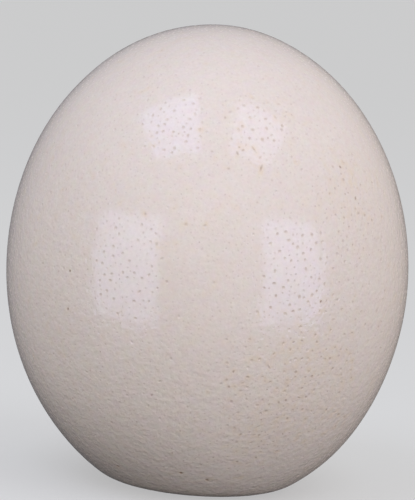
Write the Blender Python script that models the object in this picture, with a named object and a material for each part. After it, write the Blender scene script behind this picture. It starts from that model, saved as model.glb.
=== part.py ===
"""Ostrich egg standing on a small flat spot: one closed shell with its larger pores as pits.

Metres, +Z up. The origin lies on the surface that the egg stands on, under the middle of its
bounding box. -Y is the front.
"""

import math

import bmesh
import bpy
import numpy as np
from mathutils import Matrix, Vector

# The egg, measured along and across its own long axis.
WIDEST_RADIUS = 0.0650
UPPER_HALF_LENGTH = 0.0791  # from the widest ring up to the top
LOWER_HALF_LENGTH = 0.0772  # from the widest ring down to where the end would be with no flat spot

# A laid shell is a little uneven. Each swelling or dip has its turn round the long axis from +X
# towards +Y and its angle above the widest ring, in degrees, its height, and its spread in degrees.
UNEVENNESS = (
    (20, 80, 0.00030, 13),
    (0, -50, 0.00040, 12),
    (0, -22, -0.00022, 13),
    (180, -42, -0.00024, 14),
    (180, 52, -0.00016, 14),
    (75, 20, 0.00020, 18),
    (115, -35, -0.00022, 15),
)

# How it stands.
CENTRE_HEIGHT = 0.0696  # the middle of the widest ring above the flat spot
LEAN = math.radians(-2.9)  # the long axis leans towards -X
RIM_SOFTNESS = 0.0032  # the side turns into the flat spot over twice this height

# The mesh: triangles about 5 mm a side, with their corners a little out of line.
SPHERE_SUBDIVISIONS = 5
CORNER_STRAY = 0.015  # on a sphere of radius 1

# The larger pores. The finest ones are surface detail and aren't in this solid.
PORE_COUNT = 380
PORE_RADIUS_SMALLEST = 0.00045
PORE_RADIUS_LARGEST = 0.00085
PORE_DEPTH_SHARE = 0.5  # of its radius
LOWEST_PORE = 0.0015  # the flat spot and its rim stay whole up to this height

SEED = 31

SHELL_COLOUR = (0.78, 0.70, 0.65, 1.0)
SHELL_ROUGHNESS = 0.36


def clear_scene():
    for old in list(bpy.data.objects):
        bpy.data.objects.remove(old, do_unlink=True)


def shell_material():
    material = bpy.data.materials.new("shell")
    material.use_nodes = True
    surface = material.node_tree.nodes["Principled BSDF"]
    surface.inputs["Base Color"].default_value = SHELL_COLOUR
    surface.inputs["Roughness"].default_value = SHELL_ROUGHNESS
    surface.inputs["Metallic"].default_value = 0.0
    return material


def stray(direction, random):
    """The direction turned a little to a random side, so that the corners lie in no pattern."""
    shift = Vector(random.uniform(-CORNER_STRAY, CORNER_STRAY, 3))
    return (direction + shift).normalized()


def turned(turn, rise):
    """The unit direction at a turn round the long axis and an angle above the widest ring."""
    turn = math.radians(turn)
    rise = math.radians(rise)
    return Vector((math.cos(rise) * math.cos(turn), math.cos(rise) * math.sin(turn), math.sin(rise)))


def swelling(direction):
    """How far the shell stands above or below its even form in a direction."""
    total = 0.0
    for turn, rise, height, spread in UNEVENNESS:
        away = direction.angle(turned(turn, rise)) / math.radians(spread)
        total += height * math.exp(-away * away)
    return total


def flattened(height):
    """The height with everything below the flat spot lifted to 0, and a soft rim round it."""
    if height <= -RIM_SOFTNESS:
        return 0.0
    if height >= RIM_SOFTNESS:
        return height
    return (height + RIM_SOFTNESS) ** 2 / (4 * RIM_SOFTNESS)


def shell_point(direction):
    """Where the shell's surface lies in a direction from the middle of the widest ring."""
    half_length = UPPER_HALF_LENGTH if direction.z > 0 else LOWER_HALF_LENGTH
    point = Vector((direction.x, direction.y, 0)) * WIDEST_RADIUS
    point.z = direction.z * half_length
    point += direction * swelling(direction)
    point.rotate(Matrix.Rotation(LEAN, 3, "Y"))
    point.z = flattened(point.z + CENTRE_HEIGHT)
    return point


def centre_over_origin(bm):
    """Moves the shell sideways until its bounding box is centred on the Z axis."""
    places = np.array([vert.co for vert in bm.verts])
    middle = (places.min(axis=0) + places.max(axis=0)) / 2
    bmesh.ops.translate(bm, verts=bm.verts, vec=(-middle[0], -middle[1], 0))


def add_pores(bm, random):
    """Turns some of the mesh's corners into pits: each is cut off, and the cut is pushed in."""
    corners = [vert for vert in bm.verts if vert.co.z > LOWEST_PORE]
    chosen = random.choice(len(corners), PORE_COUNT, replace=False)
    cut = bmesh.ops.bevel(
        bm,
        geom=[corners[i] for i in chosen],
        offset=PORE_RADIUS_LARGEST,
        offset_type="OFFSET",
        segments=1,
        affect="VERTICES",
        clamp_overlap=True,
    )
    for mouth in cut["faces"]:
        share = random.uniform(PORE_RADIUS_SMALLEST, PORE_RADIUS_LARGEST) / PORE_RADIUS_LARGEST
        middle = mouth.calc_center_median()
        inward = -mouth.normal
        for vert in mouth.verts:
            vert.co = middle + (vert.co - middle) * share
        floor = bmesh.ops.poke(bm, faces=[mouth])["verts"][0]
        floor.co += inward * PORE_DEPTH_SHARE * PORE_RADIUS_LARGEST * share
    bmesh.ops.triangulate(bm, faces=[face for face in bm.faces if len(face.verts) > 3])


def make_egg(collection):
    random = np.random.RandomState(SEED)
    bm = bmesh.new()
    bmesh.ops.create_icosphere(bm, subdivisions=SPHERE_SUBDIVISIONS, radius=1.0)
    for vert in bm.verts:
        vert.co = shell_point(stray(vert.co, random))
    centre_over_origin(bm)
    bm.normal_update()
    add_pores(bm, random)
    mesh = bpy.data.meshes.new("egg")
    bm.to_mesh(mesh)
    bm.free()
    mesh.shade_smooth()
    mesh.materials.append(shell_material())
    egg = bpy.data.objects.new("egg", mesh)
    collection.objects.link(egg)
    return egg


def main():
    clear_scene()
    collection = bpy.data.collections.new("ostrich_egg")
    bpy.context.scene.collection.children.link(collection)
    make_egg(collection)


main()
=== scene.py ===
"""Ostrich egg on a pale floor: the shell with its pores, its finish, the studio and the camera.

Metres, +Z up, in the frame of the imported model. -Y is the front, the side that the camera sees.
"""

import math

import bpy
import numpy as np
from mathutils import Matrix, Vector
from mathutils.geometry import delaunay_2d_cdt


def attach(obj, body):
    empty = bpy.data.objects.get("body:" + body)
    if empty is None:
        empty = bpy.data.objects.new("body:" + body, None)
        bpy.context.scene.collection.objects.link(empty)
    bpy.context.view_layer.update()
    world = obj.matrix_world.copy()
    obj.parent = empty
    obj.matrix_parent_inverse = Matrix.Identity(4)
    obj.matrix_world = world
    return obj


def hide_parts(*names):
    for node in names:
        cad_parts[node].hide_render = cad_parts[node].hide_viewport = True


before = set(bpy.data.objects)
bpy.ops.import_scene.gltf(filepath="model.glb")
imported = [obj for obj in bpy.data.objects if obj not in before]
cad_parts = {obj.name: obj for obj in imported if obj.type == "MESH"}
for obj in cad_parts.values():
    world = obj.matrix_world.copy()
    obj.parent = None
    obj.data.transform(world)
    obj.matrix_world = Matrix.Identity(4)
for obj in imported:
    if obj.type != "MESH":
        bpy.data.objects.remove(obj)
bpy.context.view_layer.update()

SEED = 7

# ---------------------------------------------------------------- sizes: the egg's form, as the CAD has it
WIDEST_RADIUS = 0.0650
UPPER_HALF_LENGTH = 0.0791  # from the widest ring up to the top
LOWER_HALF_LENGTH = 0.0772  # from the widest ring down to where the end would be with no flat spot

# Each swelling or dip: its turn round the long axis from +X towards +Y and its angle above the
# widest ring, in degrees, its height, and its spread in degrees.
UNEVENNESS = (
    (20, 80, 0.00030, 13),
    (0, -50, 0.00040, 12),
    (0, -22, -0.00022, 13),
    (180, -42, -0.00024, 14),
    (180, 52, -0.00016, 14),
    (75, 20, 0.00020, 18),
    (115, -35, -0.00022, 15),
)

CENTRE_HEIGHT = 0.0696  # the middle of the widest ring above the flat spot
LEAN = math.radians(-2.9)  # the long axis leans towards -X
RIM_SOFTNESS = 0.0032  # the side turns into the flat spot over twice this height
INNER_FLAT_RING = math.radians(14)  # a ring of points that lies wholly in the flat spot
INNER_FLAT_POINTS = 60
FLAT_RING_CLEARANCE = 1.1  # all other points stay outside this many times its angle
MEASURING_POINTS = 40000  # spread over the even shell to find its box

# ---------------------------------------------------------------- sizes: pores
PORES_PER_SQUARE_METRE = 195000
TRIES_PER_PORE = 3  # places drawn at random for each pore, as many turn out to be taken
SHELL_BETWEEN_PORES = 0.0002  # the least that is left
LOWEST_PORE = 0.0012
SHALLOWEST_CAD_PIT = 0.00015  # a point of the CAD shell that lies deeper is the middle of a pit
FINE_RADIUS = (0.00028, 0.00042)
LARGE_RADIUS = (0.00043, 0.00052)
NAMED_RADIUS_SHARE = (0.85, 1.15)  # of the radius that its group has

# How many times longer than a round pore a pore is. It is as many times narrower.
LARGE_STRETCH = (1, 1.2)
NAMED_STRETCH = (1, 1.25)
FINE_STRETCH_OVER_ONE = 0.5  # at most

# How dark a pore that isn't named below is painted, from 0 for none to 1 for the whole dark colour.
# The darkness is dirt, and painted shade for the shadow in the pore's hollow.
LEAST_DIRT_AND_SHADE = 0.07
MOST_DIRT_AND_SHADE = 0.6
OWN_DIRT_AND_SHADE = 0.52  # added by chance, at most
# Darker places are dirt, and at the four highlights painted shade for lost gloss.
PLACE_DIRT_AND_SHADE = 4  # times the strength of a dirty place, added there at most

# The random shares from 0 to 1 follow beta distributions. These are the two values that shape each:
# the larger the second is beside the first, the nearer to 0 most shares lie.
FINE_SIZE_SHAPE = (1.4, 2.0)
FINE_STRETCH_SHAPE = (1, 2)
OWN_DIRT_AND_SHADE_SHAPE = (1, 9)
PLACE_DIRT_AND_SHADE_SHAPE = (1.0, 2.6)
OWN_BROWN_SHAPE = (0.5, 5)
PLACE_BROWN_SHAPE = (0.8, 1.6)

FILLER_SPACING = 0.0030  # points of the even shell between the pores
FILLER_STRAY = 0.15  # how far they stray from an even pattern, in spacings
FILLER_CLEARANCE = 0.25  # how far they keep from a pit, in spacings
RING_STRAY = (0.93, 1.07)  # where a ring's points lie round a pit, in the ring's own radius

# A pore's pit: rings at a number of radii from its middle, how deep each lies in half the pore's
# width, and how hollow it counts as, from 0 on the even shell to 1 in the middle. The middle is the
# last.
EDGE = 1.35
FINE_PIT = ((EDGE, 0.0, 0.0), (0.0, 0.40, 1.0))
LARGE_PIT = ((EDGE, 0.0, 0.0), (0.80, 0.15, 0.50), (0.0, 0.40, 1.0))
FINE_RING_POINTS = 6
LARGE_RING_POINTS = 10

# ---------------------------------------------------------------- the photograph
PHOTO_WIDTH = 415
PHOTO_HEIGHT = 500
FOCAL_PIXELS = 3000
EGG_CENTRE_PIXEL = (207.3, 269.6)
CAMERA_DISTANCE = 0.972  # from the middle of the widest ring
CAMERA_RISE = math.radians(7.8)
CAMERA_ROLL = math.radians(4.1)  # the photograph shows the egg turned clockwise by this
SENSOR = 36.0
NEAREST_SEEN = 0.05

# Pores that stand out in the photograph, by where they are: their radius, how dark they are painted,
# how brown the shell is round them, then their pixels. The darkness is dirt, and in the four
# highlights also painted shade for the gloss that a pit loses there. One that lies too near a streak
# or an earlier pore is left out.
NAMED_PORES = {
    "upper left": (0.00047, 0.20, 0.0, (
        (151.3, 121.9), (152.7, 115.3), (156.7, 132.8), (164.5, 124.2), (173.3, 132.3), (174.3, 110.6),
        (174.4, 148.4), (183.3, 127.4), (185.9, 141.9), (187.9, 135.8), (190.7, 129.0), (193.3, 103.6),
        (202.3, 122.4), (171.7, 152.7), (189.7, 90.0), (211.8, 151.9),
    )),
    "upper left, fainter": (0.00045, 0.14, 0.15, (
        (169.0, 106.2), (160.8, 109.2), (165.0, 102.8), (195.0, 114.0), (200.3, 98.2), (184.0, 100.0),
        (189.6, 119.3), (167.0, 119.5), (158.2, 126.0), (146.7, 122.4), (149.0, 114.3), (200.4, 136.8),
        (183.0, 139.5), (201.7, 108.7), (163.9, 150.2), (147.5, 100.0), (144.5, 146.8), (163.0, 131.5),
    )),
    "brown, by the upper left": (0.00046, 0.12, 0.8, ((200.2, 129.8), (152.9, 146.4), (159.0, 142.8))),
    "upper right": (0.00049, 0.25, 0.4, (
        (225.0, 117.8), (230.0, 111.7), (239.1, 138.0), (243.0, 150.3), (252.5, 129.7), (257.9, 107.4),
        (261.0, 151.4), (262.4, 139.6), (265.7, 118.9), (266.6, 128.3), (274.1, 140.8), (281.7, 129.9),
        (282.2, 125.5), (291.7, 114.8), (249.5, 138.4),
    )),
    "upper right, fainter": (0.00045, 0.165, 0.3, (
        (278.8, 104.3), (251.2, 102.6), (243.8, 105.3), (238.0, 108.5), (223.0, 104.9), (248.0, 113.0),
        (250.0, 117.5), (264.2, 110.7), (276.2, 111.0), (270.0, 123.7), (293.0, 138.5), (292.0, 157.0),
        (287.0, 160.8), (260.4, 157.7), (231.2, 139.2), (229.0, 145.9), (247.8, 146.3), (289.8, 121.5),
        (239.3, 100.0), (264.8, 138.2),
    )),
    "brown, by the upper right": (0.00046, 0.13, 0.8, (
        (276.0, 117.5), (267.8, 102.3), (285.5, 116.5), (252.9, 98.0), (238.6, 129.6), (296.3, 162.0),
    )),
    "left": (0.00047, 0.19, 0.1, (
        (100.5, 295.0), (103.7, 252.1), (112.8, 256.2), (113.5, 299.1), (119.0, 234.1), (127.0, 277.5),
        (129.2, 260.9), (133.9, 301.4), (134.2, 273.1), (143.3, 232.8), (151.4, 229.6), (151.9, 266.6),
        (157.3, 288.3), (162.1, 258.8), (99.7, 280.7), (110.1, 280.5), (96.4, 260.8), (122.8, 272.7),
    )),
    "left, fainter": (0.00044, 0.155, 0.1, (
        (106.8, 221.2), (118.9, 218.7), (115.6, 227.6), (124.0, 231.3), (96.6, 229.2), (141.5, 224.6),
        (155.7, 233.7), (150.5, 241.7), (138.0, 240.5), (151.7, 249.0), (122.4, 253.2), (113.1, 246.3),
        (105.5, 246.0), (155.8, 255.6), (150.8, 262.1), (102.0, 263.4), (136.6, 266.5), (93.8, 268.4),
        (104.2, 275.0), (111.5, 274.0), (142.0, 278.4), (100.0, 286.0), (106.8, 291.0), (114.9, 289.6),
        (132.4, 291.6), (139.3, 291.9), (152.6, 292.5), (148.8, 301.6), (143.4, 301.0), (145.1, 308.3),
        (147.2, 312.2), (122.3, 316.0), (106.5, 308.7), (95.4, 298.7), (90.7, 282.2), (135.5, 318.5),
    )),
    "brown, by the left": (0.00046, 0.22, 0.9, ((145.1, 214.0), (156.6, 244.2))),
    "right": (0.00049, 0.285, 0.25, (
        (263.7, 276.3), (264.0, 287.8), (270.5, 307.7), (274.0, 283.6), (275.8, 295.9), (279.5, 251.2),
        (285.9, 231.7), (288.6, 240.2), (291.0, 260.6), (292.9, 311.2), (299.4, 296.9), (302.6, 235.5),
        (310.9, 249.5), (311.9, 234.5), (316.5, 243.1), (316.8, 291.0), (266.4, 309.0), (311.4, 277.6),
        (324.5, 284.0), (343.1, 241.1), (320.8, 259.2), (277.4, 233.8),
    )),
    "right, fainter": (0.00045, 0.205, 0.25, (
        (296.2, 223.2), (268.0, 224.6), (288.2, 228.2), (267.7, 237.7), (269.9, 243.5), (302.7, 243.3),
        (292.8, 243.9), (316.0, 238.3), (320.9, 233.2), (297.7, 247.4), (303.3, 253.6), (284.8, 258.2),
        (297.7, 260.8), (305.2, 259.9), (291.1, 265.2), (305.9, 269.3), (274.9, 271.2), (286.3, 274.0),
        (290.8, 274.9), (319.4, 279.2), (288.0, 280.8), (291.0, 287.0), (298.5, 284.9), (283.4, 287.7),
        (274.9, 292.0), (294.7, 293.3), (312.3, 295.2), (273.8, 304.8), (299.8, 309.7), (289.6, 305.0),
        (264.6, 263.2), (327.2, 257.6), (324.9, 272.0), (273.6, 258.7),
    )),
    "under the right": (0.00046, 0.16, 0.6, (
        (308.0, 302.0), (326.1, 301.2), (331.0, 283.9), (285.3, 314.0), (257.2, 312.2), (325.7, 311.9),
        (319.5, 311.4), (333.2, 295.0), (322.2, 241.9),
    )),
    "brown, upper": (0.00058, 0.19, 1.0, ((242.2, 126.2), (185.7, 224.7), (204.6, 226.0))),
    "right shoulder": (0.00049, 0.26, 0.8, (
        (329.7, 193.5), (335.0, 188.7), (335.7, 214.8), (343.6, 179.9), (344.2, 217.7), (358.5, 213.7),
        (364.7, 215.5), (371.9, 220.2),
    )),
    "right shoulder, darkest": (0.00050, 0.60, 0.5, ((340.2, 167.2), (355.5, 198.4), (320.8, 301.5))),
    "lower right": (0.00050, 0.375, 0.8, (
        (293.5, 342.3), (302.0, 340.7), (316.7, 342.0), (329.8, 358.5), (311.8, 376.6), (295.7, 372.0),
        (278.5, 402.5), (285.7, 400.4), (305.9, 397.0), (302.4, 409.5), (265.9, 411.0), (326.2, 409.7),
        (338.3, 414.5), (344.3, 417.1), (335.1, 426.3), (332.5, 368.6),
    )),
    "low": (0.00050, 0.37, 0.8, (
        (228.8, 386.8), (233.3, 371.8), (247.6, 377.0), (240.4, 434.6), (258.9, 435.3), (255.6, 457.8),
        (276.3, 451.3), (287.0, 418.7), (236.9, 461.9), (231.2, 401.6),
    )),
    "right shoulder, fainter": (0.00046, 0.21, 0.6, (
        (357.2, 188.3), (354.4, 194.6), (346.3, 168.7), (332.6, 167.0), (330.4, 179.5), (341.0, 179.4),
        (355.5, 209.0), (345.0, 207.5), (332.5, 212.2), (327.0, 218.3), (316.2, 221.5), (319.0, 205.5),
        (372.0, 182.8), (377.6, 183.8), (381.8, 217.4), (368.3, 224.2), (351.5, 215.0), (349.0, 227.0),
    )),
    "right edge": (0.00047, 0.23, 0.4, (
        (338.8, 231.8), (347.0, 236.8), (352.6, 245.0), (338.6, 247.5), (347.4, 250.2), (337.0, 254.0),
        (359.6, 258.5), (344.6, 261.6), (333.2, 268.7), (381.0, 259.9), (388.6, 266.0), (385.0, 291.0),
        (337.3, 300.0), (352.7, 302.0), (341.7, 309.5), (333.5, 319.7), (355.4, 319.7), (360.9, 311.5),
        (376.7, 311.0), (385.5, 311.5), (381.0, 322.0), (365.0, 324.8), (344.2, 334.6), (378.0, 327.0),
    )),
    "lower right, fainter": (0.00046, 0.205, 0.8, (
        (301.2, 332.6), (330.5, 330.1), (297.5, 348.9), (338.7, 356.1), (325.4, 359.3), (352.4, 361.0),
        (306.3, 364.5), (308.8, 371.5), (322.8, 373.6), (350.6, 370.2), (350.9, 378.0), (341.0, 375.2),
        (302.0, 388.1), (313.7, 390.1), (295.1, 359.0), (277.2, 356.7), (284.2, 371.7), (287.2, 380.3),
        (295.2, 377.0), (277.0, 388.6), (287.6, 386.6), (284.2, 391.4), (315.2, 335.1), (346.5, 361.3),
        (283.2, 343.0), (290.2, 349.6), (334.8, 348.0), (312.3, 350.9), (326.0, 349.3), (305.0, 377.2),
    )),
    "lower right, faintest": (0.00046, 0.19, 0.8, (
        (300.3, 327.0), (319.3, 333.6), (326.0, 335.0), (351.8, 333.0), (307.2, 350.2), (340.4, 349.7),
        (346.5, 350.0), (349.9, 354.4), (301.8, 358.9), (308.0, 358.6), (290.6, 360.8), (341.3, 382.2),
        (298.4, 397.9), (338.8, 392.8), (264.7, 381.2), (269.9, 382.2), (262.5, 377.0), (284.7, 364.6),
        (294.5, 405.5), (311.4, 411.2), (320.6, 409.1), (305.0, 419.6), (322.0, 417.3), (341.8, 412.6),
        (315.0, 429.3), (299.0, 433.0), (303.9, 441.3), (322.6, 433.4), (327.8, 430.1),
    )),
    "low, fainter": (0.00046, 0.22, 0.7, (
        (226.4, 339.6), (249.6, 339.6), (226.9, 363.0), (251.4, 360.4), (259.4, 359.2), (242.4, 383.1),
        (234.9, 386.6), (240.6, 391.0), (235.2, 395.0), (247.3, 387.2), (226.4, 380.2), (262.3, 399.8),
        (257.3, 405.4), (238.3, 412.7), (260.6, 413.5), (277.4, 418.2), (228.9, 418.6), (234.5, 427.9),
        (249.6, 432.4), (254.0, 435.2), (273.7, 431.7), (268.4, 439.0), (236.5, 442.3), (251.2, 442.8),
        (247.2, 448.6), (236.5, 451.4), (260.2, 451.9), (274.2, 445.6), (246.4, 464.0), (262.8, 463.4),
    )),
    "far left": (0.00050, 0.58, 0.4, ((70.0, 271.0), (68.0, 309.0))),
    "by the flat spot": (0.00062, 0.78, 0.6, ((118.0, 466.0), (181.0, 473.0), (207.0, 480.0))),
}

# Short brown streaks, each a long shallow pit: the pixels of its ends, its width, how dark it is
# painted with dirt and with shade in its hollow, and how brown the shell is round it.
STREAKS = {
    "upper right, long": ((251.4, 146.0), (256.6, 153.4), 0.00055, 0.28, 0.9),
    "upper right, dot": ((238.8, 148.4), (239.6, 146.4), 0.00075, 0.30, 1.0),
    "upper right, short": ((236.5, 151.4), (238.3, 155.4), 0.00080, 0.36, 1.0),
    "upper right, upper": ((240.8, 140.0), (241.0, 144.0), 0.00050, 0.16, 1.0),
    "under the upper right": ((262.3, 164.5), (260.2, 171.5), 0.00080, 0.42, 1.0),
    "right shoulder, upper": ((342.2, 160.8), (345.2, 164.8), 0.00060, 0.17, 1.0),
    "right shoulder, middle": ((353.0, 174.0), (352.2, 183.0), 0.00070, 0.10, 1.0),
    "right shoulder, outer": ((363.0, 169.5), (366.5, 174.5), 0.00050, 0.20, 0.4),
    "right, below the middle": ((356.8, 343.5), (355.0, 350.0), 0.00060, 0.20, 0.2),
    "low, by the flat spot": ((233.5, 478.4), (241.5, 477.2), 0.00070, 0.22, 0.8),
    "lower right edge": ((331.0, 413.0), (336.5, 411.5), 0.00070, 0.12, 1.0),
    "lower right, pair": ((267.2, 364.7), (270.0, 369.4), 0.00070, 0.32, 1.0),
    "lower right, slanting": ((272.5, 355.6), (275.1, 352.6), 0.00070, 0.22, 1.0),
    "low, slanting": ((255.4, 428.3), (260.4, 425.2), 0.00060, 0.16, 1.0),
    "low, outer": ((294.6, 440.6), (298.2, 438.2), 0.00060, 0.22, 0.8),
}

# Places where the pores are painted darker: pixel, radius, how much more. At the four highlights,
# upper left, upper right, left and right, it is painted shade for the gloss that the pits lose;
# elsewhere it is dirt.
DIRT_AND_SHADE_PLACES = {
    "upper left": ((175, 126), 0.0090, 0.04),
    "upper right": ((262, 130), 0.0095, 0.08),
    "left": ((128, 262), 0.0120, 0.04),
    "right": ((292, 266), 0.0120, 0.06),
    "right shoulder": ((350, 195), 0.0130, 0.12),
    "lower right": ((305, 385), 0.0180, 0.07),
    "low": ((265, 440), 0.0140, 0.12),
    "by the flat spot": ((200, 470), 0.0180, 0.10),
    "lower left": ((110, 385), 0.0200, 0.08),
    "left edge": ((48, 290), 0.0180, 0.05),
    "right edge": ((372, 265), 0.0150, 0.06),
}

# Places where the shell is browner round its pores: pixel, radius, how much.
BROWN_PLACES = {
    "right shoulder": ((350, 190), 0.012, 0.9),
    "lower right": ((320, 385), 0.015, 0.8),
    "low right of the middle": ((265, 432), 0.012, 0.9),
    "lower right edge": ((335, 412), 0.005, 0.7),
    "right edge": ((392, 290), 0.010, 0.5),
    "upper middle": ((240.5, 147), 0.004, 1.3),
    "high middle": ((182, 192), 0.004, 0.5),
    "between the middle and the left": ((168, 260), 0.005, 0.5),
    "left": ((82, 265), 0.005, 0.4),
}
BROWN_CLOUD = 0.45  # the share of it that lies between the pores

# How calm the shell is at a number of heights: its fine relief is whole at 0 and lowest at 1.
CALM_BY_HEIGHT = ((0.036, 0.0), (0.055, 0.3), (0.090, 0.3), (0.115, 0.8))

# Places where it is calmer still, or rougher below 0: pixel, radius, how much.
CALM_PLACES = {
    "upper left": ((172, 125), 0.0130, 2.5),
    "upper right": ((262, 130), 0.0140, 2.5),
    "left, upper part": ((132, 240), 0.0110, 1.5),
    "left, lower part": ((132, 288), 0.0110, 1.3),
    "right, upper part": ((292, 240), 0.0110, 1.7),
    "right, lower part": ((292, 292), 0.0110, 1.4),
    "middle": ((205, 235), 0.0280, 0.25),
    "right edge": ((368, 262), 0.0160, -0.35),
    "left edge": ((40, 262), 0.0160, -0.15),
}


# ---------------------------------------------------------------- the even shell
def unit(vectors):
    return vectors / np.linalg.norm(vectors, axis=-1, keepdims=True)


def turned(turn, rise):
    """The unit direction at a turn round the long axis and an angle above the widest ring."""
    turn = math.radians(turn)
    rise = math.radians(rise)
    return np.array([math.cos(rise) * math.cos(turn), math.cos(rise) * math.sin(turn), math.sin(rise)])


def half_axes(directions):
    """The even egg's half-axes for each direction: the upper and lower halves differ in length."""
    upright = np.where(directions[..., 2] > 0, UPPER_HALF_LENGTH, LOWER_HALF_LENGTH)
    across = np.full_like(upright, WIDEST_RADIUS)
    return np.stack([across, across, upright], axis=-1)


def upright_shell(directions):
    """The shell's points in unit directions, in the egg's own upright frame."""
    points = directions * half_axes(directions)
    for turn, rise, height, spread in UNEVENNESS:
        away = np.arccos(np.clip(directions @ turned(turn, rise), -1, 1)) / math.radians(spread)
        points += directions * (height * np.exp(-away ** 2))[..., None]
    return points


def flattened(heights):
    """Heights with everything below the flat spot lifted to 0, and a soft rim round it."""
    soft = (heights + RIM_SOFTNESS) ** 2 / (4 * RIM_SOFTNESS)
    return np.where(heights <= -RIM_SOFTNESS, 0, np.where(heights >= RIM_SOFTNESS, heights, soft))


TO_LEANING = np.array(Matrix.Rotation(LEAN, 3, "Y"))


def standing_shell(directions):
    """The shell's points as the egg leans and stands on its flat spot, before it is centred."""
    points = upright_shell(directions) @ TO_LEANING.T + [0, 0, CENTRE_HEIGHT]
    points[..., 2] = flattened(points[..., 2])
    return points


def sphere_lattice(count):
    """Unit directions spread evenly over a sphere."""
    step = np.arange(count) + 0.5
    height = 1 - 2 * step / count
    turn = math.pi * (1 + math.sqrt(5)) * step
    across = np.sqrt(1 - height ** 2)
    return np.stack([across * np.cos(turn), across * np.sin(turn), height], axis=1)


def box_middle():
    """The middle of the even shell's box, on the ground."""
    points = standing_shell(sphere_lattice(MEASURING_POINTS))
    middle = (points.min(axis=0) + points.max(axis=0)) / 2
    return np.array([middle[0], middle[1], 0])


CENTRING = -box_middle()


def shell(directions):
    """The even shell's points where the CAD egg stands."""
    return standing_shell(directions) + CENTRING


def two_sides(normals):
    """Two unit vectors square to each normal and to each other."""
    steep = 0.9
    helper = np.where(np.abs(normals[..., 2:]) < steep, [[0, 0, 1.0]], [[1.0, 0, 0]])
    side = unit(np.cross(helper, normals))
    return side, np.cross(normals, side)


def shell_normals(directions):
    """The even shell's outward normals, from two short steps along it."""
    step = 0.0005  # radians
    side, other = two_sides(directions)
    here = shell(directions)
    along = shell(unit(directions + side * step)) - here
    across = shell(unit(directions + other * step)) - here
    return unit(np.cross(along, across))


def directions_of(points):
    """The egg's own unit directions of points on the shell where it stands."""
    upright = (points - CENTRING - [0, 0, CENTRE_HEIGHT]) @ TO_LEANING
    return unit(upright / half_axes(upright))


def down():
    """The direction of the middle of the flat spot."""
    axes = np.array([WIDEST_RADIUS, WIDEST_RADIUS, LOWER_HALF_LENGTH])
    return -unit(TO_LEANING[2] * axes)


# ---------------------------------------------------------------- camera
def make_camera():
    camera = bpy.data.objects.new("camera", bpy.data.cameras.new("camera"))
    bpy.context.scene.collection.objects.link(camera)
    camera.data.sensor_fit = "VERTICAL"
    camera.data.sensor_height = SENSOR
    camera.data.lens = SENSOR * FOCAL_PIXELS / PHOTO_HEIGHT
    camera.data.clip_start = NEAREST_SEEN
    sight = Vector((0, math.cos(CAMERA_RISE), -math.sin(CAMERA_RISE)))
    target = Vector((0, 0, CENTRE_HEIGHT))
    turn_left = (EGG_CENTRE_PIXEL[0] - PHOTO_WIDTH / 2) / FOCAL_PIXELS
    turn_up = (EGG_CENTRE_PIXEL[1] - PHOTO_HEIGHT / 2) / FOCAL_PIXELS
    camera.matrix_world = (
        Matrix.Translation(target - sight * CAMERA_DISTANCE)
        @ sight.to_track_quat("-Z", "Y").to_matrix().to_4x4()
        @ Matrix.Rotation(CAMERA_ROLL, 4, "Z")
        @ Matrix.Rotation(turn_up, 4, "X")
        @ Matrix.Rotation(turn_left, 4, "Y")
    )
    bpy.context.scene.camera = camera
    bpy.context.view_layer.update()
    return camera


def seen_at(camera, pixel):
    """The point of the CAD egg that the photograph shows at a pixel."""
    sight = Vector((pixel[0] - PHOTO_WIDTH / 2, PHOTO_HEIGHT / 2 - pixel[1], -FOCAL_PIXELS))
    sight = camera.matrix_world.to_3x3() @ sight.normalized()
    hit, place, _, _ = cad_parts["egg"].ray_cast(camera.matrix_world.translation, sight)
    if not hit:
        raise ValueError(f"no shell at pixel {pixel}")
    return np.array(place)


# ---------------------------------------------------------------- where the pores are
def cad_pore_directions():
    """The directions of the CAD shell's pits: its points that lie deep under the even shell."""
    middle = [0, 0, CENTRE_HEIGHT]
    points = np.unique([tuple(vert.co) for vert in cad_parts["egg"].data.vertices], axis=0)
    points = points[points[:, 2] > LOWEST_PORE]
    directions = directions_of(points)
    even = np.linalg.norm(shell(directions) - middle, axis=1)
    return directions[even - np.linalg.norm(points - middle, axis=1) > SHALLOWEST_CAD_PIT]


class Pores:
    """Pores taken one by one, each clear of those before it."""

    CELL = 0.003  # more than two pores reach together, streaks left aside

    def __init__(self):
        self.directions = []
        self.sizes = []
        self.cells = {}

    def near(self, home):
        """The pores in a cell and in those round it."""
        for i in (-1, 0, 1):
            for j in (-1, 0, 1):
                for k in (-1, 0, 1):
                    yield from self.cells.get((home[0] + i, home[1] + j, home[2] + k), ())

    def add(self, direction, place, radius, stretch, way, dirt_and_shade, brown):
        """Takes a pore, unless it and another could touch, whichever way each is turned."""
        home = tuple(math.floor(x / self.CELL) for x in place)
        reach = radius * stretch * EDGE + SHELL_BETWEEN_PORES / 2
        if any(math.dist(place, other) < reach + other_reach for other, other_reach in self.near(home)):
            return
        self.cells.setdefault(home, []).append((place, reach))
        self.directions.append(direction)
        self.sizes.append((radius, stretch, way, dirt_and_shade, brown))


def soft_spots(points, spots, camera):
    """How strongly the places named by a pixel, a radius and a strength show at points."""
    total = np.zeros(len(points))
    for pixel, radius, strength in spots.values():
        away = np.linalg.norm(points - seen_at(camera, pixel), axis=1) / radius
        total += strength * np.exp(-away ** 2)
    return total


def scattered_directions(random, count):
    """Random directions, as dense everywhere on the shell."""
    directions = unit(random.normal(size=(count, 3)))
    share = np.linalg.norm(directions / half_axes(directions), axis=1)
    return directions[random.uniform(0, share.max(), count) < share]


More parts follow.
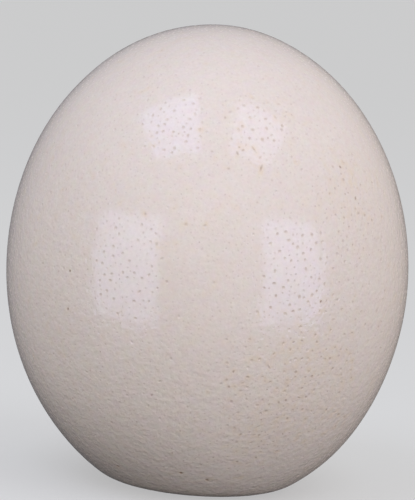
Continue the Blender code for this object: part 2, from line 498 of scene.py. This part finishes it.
def shade_dirt_and_brown(places, camera, random):
    """How dark each pore is painted, for dirt and the shade in it, and how brown the shell is round it."""
    count = len(places)
    dirt_and_shade = LEAST_DIRT_AND_SHADE + OWN_DIRT_AND_SHADE * random.beta(*OWN_DIRT_AND_SHADE_SHAPE, count)
    # At the four highlights the places add painted shade for the gloss that the pits lose there.
    dirt_and_shade += soft_spots(places, DIRT_AND_SHADE_PLACES, camera) * PLACE_DIRT_AND_SHADE * random.beta(*PLACE_DIRT_AND_SHADE_SHAPE, count)
    brown = random.beta(*OWN_BROWN_SHAPE, count)
    brown += soft_spots(places, BROWN_PLACES, camera) * random.beta(*PLACE_BROWN_SHAPE, count)
    return np.minimum(dirt_and_shade, MOST_DIRT_AND_SHADE), np.minimum(brown, 1)


def add_streaks(pores, camera):
    """Adds each streak as a pore that is stretched from one of its ends to the other."""
    for one_end, other_end, width, dirt_and_shade, brown in STREAKS.values():
        ends = np.array([seen_at(camera, one_end), seen_at(camera, other_end)])
        direction = directions_of(ends.mean(axis=0))
        line = (ends[1] - ends[0]) @ TO_LEANING
        side, other = two_sides(unit(direction / half_axes(direction))[None])
        length = np.linalg.norm(line)
        radius = math.sqrt(length * width) / 2
        way = math.atan2(line @ other[0], line @ side[0])
        pores.add(direction, tuple(shell(direction)), radius, math.sqrt(length / width), way, dirt_and_shade, brown)


def add_named_pores(pores, camera, random):
    """Adds the pores that stand out in the photograph, each with a size of its own."""
    for radius, dirt_and_shade, brown, pixels in NAMED_PORES.values():
        for pixel in pixels:
            place = seen_at(camera, pixel)
            own = random.uniform(*NAMED_RADIUS_SHARE)
            stretch, way = random.uniform(*NAMED_STRETCH), random.uniform(0, math.pi)
            pores.add(directions_of(place), tuple(place), radius * own, stretch, way, dirt_and_shade / own, brown)


def add_cad_pores(pores, camera, random):
    """Adds a pore where the CAD shell has one, if no other is there."""
    directions = cad_pore_directions()
    places = shell(directions)
    for direction, place, dirt_and_shade, brown in zip(directions, places, *shade_dirt_and_brown(places, camera, random)):
        radius = random.uniform(*LARGE_RADIUS)
        stretch, way = random.uniform(*LARGE_STRETCH), random.uniform(0, math.pi)
        pores.add(direction, tuple(place), radius, stretch, way, dirt_and_shade, brown)


def add_fine_pores(pores, camera, random):
    """Adds fine pores at random places, until the whole shell has the number that it should."""
    area = 4 * math.pi * WIDEST_RADIUS * (2 * WIDEST_RADIUS + LOWER_HALF_LENGTH + UPPER_HALF_LENGTH) / 4
    wanted = int(area * PORES_PER_SQUARE_METRE)
    directions = scattered_directions(random, wanted * TRIES_PER_PORE)
    places = shell(directions)
    for direction, place, dirt_and_shade, brown in zip(directions, places, *shade_dirt_and_brown(places, camera, random)):
        size = random.beta(*FINE_SIZE_SHAPE)
        stretch = 1 + FINE_STRETCH_OVER_ONE * random.beta(*FINE_STRETCH_SHAPE)
        way = random.uniform(0, math.pi)
        if place[2] < LOWEST_PORE or len(pores.sizes) >= wanted:
            continue
        radius = FINE_RADIUS[0] + (FINE_RADIUS[1] - FINE_RADIUS[0]) * size
        pores.add(direction, tuple(place), radius, stretch, way, dirt_and_shade, brown)


def make_pores(camera, random):
    """All the pores: their directions, and their radius, stretch, long way, dirt and painted shade, and
    brown.
    """
    pores = Pores()
    add_streaks(pores, camera)
    add_named_pores(pores, camera, random)
    add_cad_pores(pores, camera, random)
    add_fine_pores(pores, camera, random)
    return np.array(pores.directions), np.array(pores.sizes)


# ---------------------------------------------------------------- the shell's mesh
def rings_round(directions, sizes, random, reach, count):
    """The directions of a ring of points round each pore, at a number of radii from its middle."""
    places = upright_shell(directions)
    side, other = two_sides(unit(directions / half_axes(directions)))
    radius, stretch, way = sizes[:, 0] * reach, sizes[:, 1], sizes[:, 2]
    turn = np.arange(count) * 2 * math.pi / count + random.uniform(0, 2 * math.pi, (len(sizes), 1))
    ragged = random.uniform(*RING_STRAY, turn.shape)
    along = np.cos(turn) * ragged * (radius * stretch)[:, None]
    across = np.sin(turn) * ragged * (radius / stretch)[:, None]
    cosine, sine = np.cos(way)[:, None], np.sin(way)[:, None]
    points = (
        places[:, None]
        + (along * cosine - across * sine)[..., None] * side[:, None]
        + (along * sine + across * cosine)[..., None] * other[:, None]
    )
    return unit(points / half_axes(points)).reshape(-1, 3)


def fillers(pore_directions, sizes, random):
    """Directions of points on the even shell, clear of the pores and of the flat spot's middle."""
    area = 4 * math.pi * WIDEST_RADIUS * (UPPER_HALF_LENGTH + LOWER_HALF_LENGTH) / 2
    directions = sphere_lattice(int(area / FILLER_SPACING ** 2))
    stray = FILLER_STRAY * FILLER_SPACING / WIDEST_RADIUS
    directions = unit(directions + random.normal(0, stray, directions.shape))
    directions = directions[directions @ down() < math.cos(INNER_FLAT_RING * FLAT_RING_CLEARANCE)]
    places = upright_shell(directions)
    pore_places = upright_shell(pore_directions)
    clear = np.ones(len(directions), bool)
    batch = 500  # points at a time, to save memory
    for start in range(0, len(directions), batch):
        part = places[start:start + batch]
        gap = np.linalg.norm(part[:, None] - pore_places[None], axis=2) - sizes[:, 0] * sizes[:, 1] * EDGE
        clear[start:start + batch] = gap.min(axis=1) > FILLER_CLEARANCE * FILLER_SPACING
    return directions[clear]


def flat_ring():
    """Directions of a ring round the flat spot's middle, wholly in the flat spot."""
    side, other = two_sides(down()[None])
    turn = np.arange(INNER_FLAT_POINTS)[:, None] * 2 * math.pi / INNER_FLAT_POINTS
    ring = np.cos(turn) * side + np.sin(turn) * other
    return unit(math.cos(INNER_FLAT_RING) * down() + math.sin(INNER_FLAT_RING) * ring)


def seen_from_below(directions):
    """Directions drawn on a plane, seen from the flat spot's middle: nothing overlaps there."""
    side, other = two_sides(down()[None])
    below = directions @ down()
    return np.stack([directions @ other[0], directions @ side[0]], axis=1) / (1 - below)[:, None]


def shell_layout(pore_directions, sizes, random):
    """Every point of the shell's mesh: its direction, how deep it is sunk, how hollow it counts
    as, how dark it is painted with dirt and shade and how brown the shell is there."""
    plain = np.vstack([flat_ring(), fillers(pore_directions, sizes, random)])
    directions, values = [plain], [np.zeros((len(plain), 4))]
    large = sizes[:, 0] > FINE_RADIUS[1]
    kinds = ((~large, FINE_PIT, FINE_RING_POINTS), (large, LARGE_PIT, LARGE_RING_POINTS))
    for chosen, pit, ring_points in kinds:
        radius, stretch, _, dirt_and_shade, brown = sizes[chosen].T
        for reach, depth, hollow in pit:
            count = 1 if reach == 0 else ring_points
            # The same draws each time, so that the rings of a pit turn and stray alike.
            state = np.random.RandomState(SEED)
            directions.append(rings_round(pore_directions[chosen], sizes[chosen], state, reach, count))
            own = np.stack([radius / stretch * depth, np.full_like(radius, hollow), dirt_and_shade, brown], axis=1)
            values.append(np.repeat(own, count, axis=0))
    return np.vstack(directions), np.vstack(values)


def flat_spot_faces(directions):
    """Triangles from the flat spot's middle to the ring of points round it."""
    nearest = np.argsort(-(directions @ down()))[:INNER_FLAT_POINTS]
    side, other = two_sides(down()[None])
    turn = np.arctan2(directions[nearest] @ other[0], directions[nearest] @ side[0])
    ring = nearest[np.argsort(turn)]
    middle = len(directions)
    return [(middle, int(a), int(b)) for a, b in zip(ring, np.roll(ring, -1))]


def add_point_values(mesh, name, values):
    """Gives the mesh's points a value each, for the material to read."""
    layer = mesh.attributes.new(name, "FLOAT", "POINT")
    layer.data.foreach_set("value", values.astype(np.float32))


def calm(points, camera):
    """How calm the shell's fine relief is, from 0 to 1."""
    heights, shares = zip(*CALM_BY_HEIGHT)
    return np.minimum(np.interp(points[:, 2], heights, shares) + soft_spots(points, CALM_PLACES, camera), 1)


def make_shell(camera, random):
    """The fine shell: one closed mesh whose points carry how hollow, how dark with dirt and painted
    shade, how brown and how calm they are.
    """
    directions, values = shell_layout(*make_pores(camera, random), random)
    flat = [Vector(point) for point in seen_from_below(directions)]
    whole_hull, tolerance, with_origins = 0, 1e-9, True
    _, _, faces, origins, _, _ = delaunay_2d_cdt(flat, [], [], whole_hull, tolerance, with_origins)
    source = [origin[0] for origin in origins] + [len(directions)]
    directions = np.vstack([directions, down()])[source]
    sunk, hollow, dirt_and_shade, brown = np.vstack([values, np.zeros(4)])[source].T
    faces += flat_spot_faces(directions[:-1])
    normals = shell_normals(directions)
    points = shell(directions) - normals * sunk[:, None]
    mesh = bpy.data.meshes.new("shell")
    mesh.from_pydata(points.tolist(), [], faces)
    mesh.shade_smooth()
    add_point_values(mesh, "hollow", hollow)
    add_point_values(mesh, "dirt_and_shade", dirt_and_shade)
    cloud = BROWN_CLOUD * soft_spots(points, BROWN_PLACES, camera)
    add_point_values(mesh, "brown", np.minimum(np.maximum(brown, cloud), 1))
    add_point_values(mesh, "calm", calm(points, camera))
    # The even shell keeps its own normals, and only the pits' are worked out from their faces.
    mesh.normals_split_custom_set_from_vertices(np.where(sunk[:, None] > 0, 0, normals).tolist())
    piece = bpy.data.objects.new("egg_shell", mesh)
    bpy.context.scene.collection.objects.link(piece)
    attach(piece, "root")
    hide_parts("egg")
    return piece


# ---------------------------------------------------------------- the shell's finish
CREAM = (0.745, 0.649, 0.606)
PALE_CREAM = (0.807, 0.710, 0.671)
BROWN_STAIN = (0.770, 0.620, 0.480)
# Dark colours that the pits are painted towards: dirt, and painted shade for a deep pore's shadow.
PORE_DIRT_AND_SHADE = (0.250, 0.110, 0.040)
BROWN_DIRT_AND_SHADE = (0.220, 0.125, 0.065)
SHELL_ROUGHNESS = (0.09, 0.14)
PORE_ROUGHNESS = 0.40
GLOSS_IOR = 1.46
GLOSS_TINT = (0.60, 0.64, 1.0)

# The noise that the finish is made from: how often it repeats in a metre, and its detail. Nearly all
# of it lies in NOISE_RANGE.
CLOUDS = (45, 3)
GRAIN = (1100, 2)
FLECKS = (350, 3)
BLOTCHES = (500, 2)
SHEEN = (160, 3)
NOISE_RANGE = (0.3, 0.7)
CLOUD_SHARE = 0.3  # of how pale the cream is
GRAIN_SHARE = 0.7
FLECK_STRENGTH = 0.18
BLOTCH_RANGE = (0.35, 0.65, 0.1, 1.0)  # from these two values of the noise to these two
STAIN_STRENGTH = 0.65

# How hollow a pit is where its painted dirt and shade begin to show and where all of it does, and
# the same for its roughness.
DIRT_AND_SHADE_RANGE = (0.1, 0.8)
ROUGH_RANGE = (0.1, 0.6)

# The relief too fine for the mesh: how often each kind repeats in a metre, and how high it stands in
# millimetres. Noise seldom reaches its whole height, so most of it is far lower.
WAVES = (300, 0.20)
DIMPLES = (700, 0.22)
GRIT = (1900, 0.045)
RELIEF_DETAIL = 1
CALM_SHARE = 0.92  # how much of it is gone where the shell is calm
PIT_RELIEF = 0.05  # millimetres, added to the pits' own depth
MILLIMETRE = 0.001


class Nodes:
    """Short ways to add and join shader nodes."""

    # A mix node has its own sockets for values and for colours.
    SHARE_IN = 0
    VALUES_IN = (2, 3)
    COLOURS_IN = (6, 7)
    VALUE_OUT = 0
    COLOUR_OUT = 2

    def __init__(self, owner):
        owner.use_nodes = True
        self.tree = owner.node_tree
        self.tree.nodes.clear()

    def add(self, kind, inputs=None, **settings):
        node = self.tree.nodes.new(kind)
        for name, value in settings.items():
            setattr(node, name, value)
        for name, value in (inputs or {}).items():
            self.put(node.inputs[name], value)
        return node

    def put(self, socket, value):
        if isinstance(value, bpy.types.NodeSocket):
            self.tree.links.new(value, socket)
        else:
            socket.default_value = value

    def work_out(self, operation, *values):
        return self.add("ShaderNodeMath", dict(enumerate(values)), operation=operation).outputs[0]

    def multiply(self, first, second):
        return self.work_out("MULTIPLY", first, second)

    def mix(self, share, first, second, **settings):
        """A colour between two, which are RGB triples or sockets."""
        node = self.add("ShaderNodeMix", data_type="RGBA", **settings)
        self.put(node.inputs[self.SHARE_IN], share)
        for socket, colour in zip(self.COLOURS_IN, (first, second)):
            is_socket = isinstance(colour, bpy.types.NodeSocket)
            self.put(node.inputs[socket], colour if is_socket else (*colour, 1))
        return node.outputs[self.COLOUR_OUT]

    def mix_values(self, share, first, second):
        """A value between two."""
        inputs = dict(zip((self.SHARE_IN, *self.VALUES_IN), (share, first, second)))
        return self.add("ShaderNodeMix", inputs, data_type="FLOAT").outputs[self.VALUE_OUT]

    def scale_to(self, value, low, high, new_low=0.0, new_high=1.0):
        """The value moved from one range to another, and kept in it."""
        inputs = dict(enumerate((value, low, high, new_low, new_high)))
        return self.add("ShaderNodeMapRange", inputs, clamp=True).outputs[0]

    def noise(self, place, scale, detail, output="Fac"):
        inputs = {"Vector": place, "Scale": scale, "Detail": detail}
        return self.add("ShaderNodeTexNoise", inputs).outputs[output]

    def value_of(self, attribute):
        return self.add("ShaderNodeAttribute", attribute_name=attribute).outputs["Fac"]


def shell_colour(nodes, place, hollow):
    """Uneven cream, with brown stains round some pores, and dirt and painted shade in them."""
    dirt_and_shade = nodes.value_of("dirt_and_shade")
    brown = nodes.value_of("brown")
    clouds = nodes.scale_to(nodes.noise(place, *CLOUDS), *NOISE_RANGE)
    grain = nodes.scale_to(nodes.noise(place, *GRAIN), *NOISE_RANGE)
    pale = nodes.work_out("MULTIPLY_ADD", grain, GRAIN_SHARE, nodes.multiply(clouds, CLOUD_SHARE))
    cream = nodes.mix(pale, CREAM, PALE_CREAM)
    flecks = nodes.noise(place, *FLECKS, output="Color")
    cream = nodes.mix(FLECK_STRENGTH, cream, flecks, blend_type="SOFT_LIGHT")
    blotches = nodes.scale_to(nodes.noise(place, *BLOTCHES), *BLOTCH_RANGE)
    stain = nodes.multiply(nodes.multiply(brown, blotches), STAIN_STRENGTH)
    stained = nodes.mix(stain, cream, BROWN_STAIN)
    # Painted shade and dirt: each pit darkens towards its hollow middle.
    darkness = nodes.multiply(dirt_and_shade, nodes.scale_to(hollow, *DIRT_AND_SHADE_RANGE))
    return nodes.mix(darkness, stained, nodes.mix(brown, PORE_DIRT_AND_SHADE, BROWN_DIRT_AND_SHADE))


def shell_roughness(nodes, place, hollow):
    """Nearly even on the shell, and duller in the pits."""
    even = nodes.scale_to(nodes.noise(place, *SHEEN), *NOISE_RANGE, *SHELL_ROUGHNESS)
    return nodes.mix_values(nodes.scale_to(hollow, *ROUGH_RANGE), even, PORE_ROUGHNESS)


def shell_relief(nodes, place, hollow):
    """Waves, dimples and grit, lower where the shell is calm, and the pits a little deeper."""
    height = 0.0
    for often, high in (WAVES, DIMPLES, GRIT):
        height = nodes.work_out("MULTIPLY_ADD", nodes.noise(place, often, RELIEF_DETAIL), high, height)
    height = nodes.multiply(height, nodes.scale_to(nodes.value_of("calm"), 0, 1, 1, 1 - CALM_SHARE))
    height = nodes.work_out("MULTIPLY_ADD", hollow, -PIT_RELIEF, height)
    inputs = {"Height": height, "Strength": 1.0, "Distance": MILLIMETRE}
    return nodes.add("ShaderNodeBump", inputs).outputs[0]


def shell_material():
    material = bpy.data.materials.new("shell")
    nodes = Nodes(material)
    place = nodes.add("ShaderNodeTexCoord").outputs["Object"]
    hollow = nodes.value_of("hollow")
    surface = nodes.add("ShaderNodeBsdfPrincipled", {
        "Base Color": shell_colour(nodes, place, hollow),
        "Roughness": shell_roughness(nodes, place, hollow),
        "Normal": shell_relief(nodes, place, hollow),
        "IOR": GLOSS_IOR,
        "Specular Tint": (*GLOSS_TINT, 1),
    })
    nodes.add("ShaderNodeOutputMaterial", {"Surface": surface.outputs[0]})
    return material


# ---------------------------------------------------------------- studio
FLOOR_COLOUR = (0.35, 0.35, 0.355)
FLOOR_GLOW = (0.42, 0.42, 0.425)
FLOOR_ROUGHNESS = 0.8
FLOOR_GLOSS = 0.1
FLOOR_SIZE = 24.0
TABLE_MIDDLE = (-0.085, 0.020, -0.001)
TABLE_RADIUS = 0.155
TABLE_SIDES = 64

# Soft boxes. Each lies on a plane 1 m from the egg's middle. The plane's turn from -Y towards +X
# and its rise are in degrees; then come how far the box's middle lies aside and above on that
# plane, its width, its height and its light.
BOX_DISTANCE = 1.0
FRONT_BOXES = {
    "front left": (-25, 0, -0.391, 0.010, 0.737, 0.710, (2.82, 2.81, 2.74)),
    "front right": (25, 0, 0.478, 0.080, 0.741, 0.690, (2.84, 2.87, 3.07)),
}
TOP_BOXES = {
    "top left": (0, 90, -0.454, -0.490, 0.612, 0.700, (2.29, 2.45, 2.93)),
    "top right": (0, 90, 0.455, -0.495, 0.550, 0.650, (2.10, 2.19, 2.41)),
}
BACK_FILL = {
    "behind": (180, 0, 0.0, 0.15, 0.90, 0.60, (1.8, 1.8, 1.8)),
}

# The room's own light: each comes from a turn and a rise and fades out to a quarter turn from there.
ROOM_LIGHTS = {
    "above": (0, 90, (0.38, 0.384, 0.36)),
    "front left": (-48, 0, (0.116, 0.116, 0.113)),
    "front right": (51, 4, (0.112, 0.113, 0.121)),
    "left": (-90, 10, (0.055, 0.060, 0.070)),
    "right": (90, 8, (0.385, 0.358, 0.312)),
    "back left": (-140, 45, (0.145, 0.155, 0.182)),
}
BACKDROP = (0.60, 0.60, 0.61)


def heading(turn, rise):
    """The unit vector away from the egg at a turn from -Y towards +X and a rise, in degrees."""
    turn = math.radians(turn)
    rise = math.radians(rise)
    return Vector((math.sin(turn) * math.cos(rise), -math.cos(turn) * math.cos(rise), math.sin(rise)))


def soft_box(name, place, towards, width, height, light):
    """A rectangle that gives off the same light from every point, in every direction."""
    data = bpy.data.lights.new(name, "AREA")
    data.shape = "RECTANGLE"
    data.size = width
    data.size_y = height
    strength = max(light)
    data.color = [part / strength for part in light]
    data.energy = strength * math.pi * width * height
    box = bpy.data.objects.new(name, data)
    bpy.context.scene.collection.objects.link(box)
    box.location = place
    box.rotation_euler = towards.to_track_quat("-Z", "Y").to_euler()
    box.visible_camera = False
    return box


def make_soft_boxes(boxes):
    """Makes the boxes of a table like those above."""
    middle = Vector((0, 0, CENTRE_HEIGHT))
    made = []
    for name, (turn, rise, aside, above, width, height, light) in boxes.items():
        away = heading(turn, rise)
        side = heading(turn + 90, 0)
        place = middle + away * BOX_DISTANCE + side * aside + away.cross(side) * above
        made.append(soft_box(name, place, -away, width, height, light))
    return made


def light_only(boxes, *lit):
    """Keeps the boxes' light for some objects."""
    chosen = bpy.data.collections.new("lit")
    for piece in lit:
        chosen.objects.link(piece)
    for box in boxes:
        box.light_linking.receiver_collection = chosen


def make_lights(egg_shell, floor):
    """The boxes that reach down to the floor light only the egg, or the floor would be glaring there."""
    light_only(make_soft_boxes(TOP_BOXES), egg_shell, floor)
    light_only(make_soft_boxes(FRONT_BOXES), egg_shell)
    behind = make_soft_boxes(BACK_FILL)
    light_only(behind, egg_shell)
    for box in behind:
        box.visible_glossy = False


def make_room_light():
    """The soft light of the room, which has no edges. The camera sees a plain pale backdrop."""
    world = bpy.data.worlds.new("room")
    nodes = Nodes(world)
    way = nodes.add("ShaderNodeTexCoord").outputs["Generated"]
    total = (0, 0, 0)
    for turn, rise, light in ROOM_LIGHTS.values():
        inputs = {0: way, 1: heading(turn, rise)}
        facing = nodes.add("ShaderNodeVectorMath", inputs, operation="DOT_PRODUCT").outputs["Value"]
        total = nodes.mix(nodes.work_out("MAXIMUM", facing, 0.0), total, light, blend_type="ADD")
    seen = nodes.add("ShaderNodeLightPath").outputs["Is Camera Ray"]
    background = nodes.add("ShaderNodeBackground", {"Color": nodes.mix(seen, total, BACKDROP)})
    nodes.add("ShaderNodeOutputWorld", {"Surface": background.outputs[0]})
    bpy.context.scene.world = world


def floor_material():
    material = bpy.data.materials.new("floor")
    nodes = Nodes(material)
    surface = nodes.add("ShaderNodeBsdfPrincipled", {
        "Base Color": (*FLOOR_COLOUR, 1),
        "Emission Color": (*FLOOR_GLOW, 1),
        "Emission Strength": 1.0,
        "Roughness": FLOOR_ROUGHNESS,
        "Specular IOR Level": FLOOR_GLOSS,
    })
    nodes.add("ShaderNodeOutputMaterial", {"Surface": surface.outputs[0]})
    return material


def make_floor():
    """The floor takes the egg's shadow, but doesn't brighten the egg from below."""
    half = FLOOR_SIZE / 2
    corners = [(-half, -half, 0), (half, -half, 0), (half, half, 0), (-half, half, 0)]
    mesh = bpy.data.meshes.new("floor")
    mesh.from_pydata(corners, [], [(0, 1, 2, 3)])
    mesh.materials.append(floor_material())
    floor = bpy.data.objects.new("floor", mesh)
    bpy.context.scene.collection.objects.link(floor)
    floor.visible_diffuse = False
    floor.visible_glossy = False
    floor.visible_shadow = False
    return floor


def make_table():
    """An unseen round, just under the floor, that keeps the boxes' light from below off the egg."""
    turn = np.arange(TABLE_SIDES)[:, None] * 2 * math.pi / TABLE_SIDES
    rim = np.hstack([np.cos(turn), np.sin(turn), np.zeros_like(turn)]) * TABLE_RADIUS + TABLE_MIDDLE
    mesh = bpy.data.meshes.new("table")
    mesh.from_pydata(rim.tolist(), [], [tuple(range(len(rim)))])
    table = bpy.data.objects.new("table", mesh)
    bpy.context.scene.collection.objects.link(table)
    table.visible_camera = False
    table.visible_diffuse = False
    table.visible_glossy = False


# ---------------------------------------------------------------- the scene
def main():
    random = np.random.RandomState(SEED)
    camera = make_camera()
    egg_shell = make_shell(camera, random)
    egg_shell.data.materials.append(shell_material())
    floor = make_floor()
    make_table()
    make_lights(egg_shell, floor)
    make_room_light()
    scene = bpy.context.scene
    scene.view_settings.view_transform = "Standard"


main()
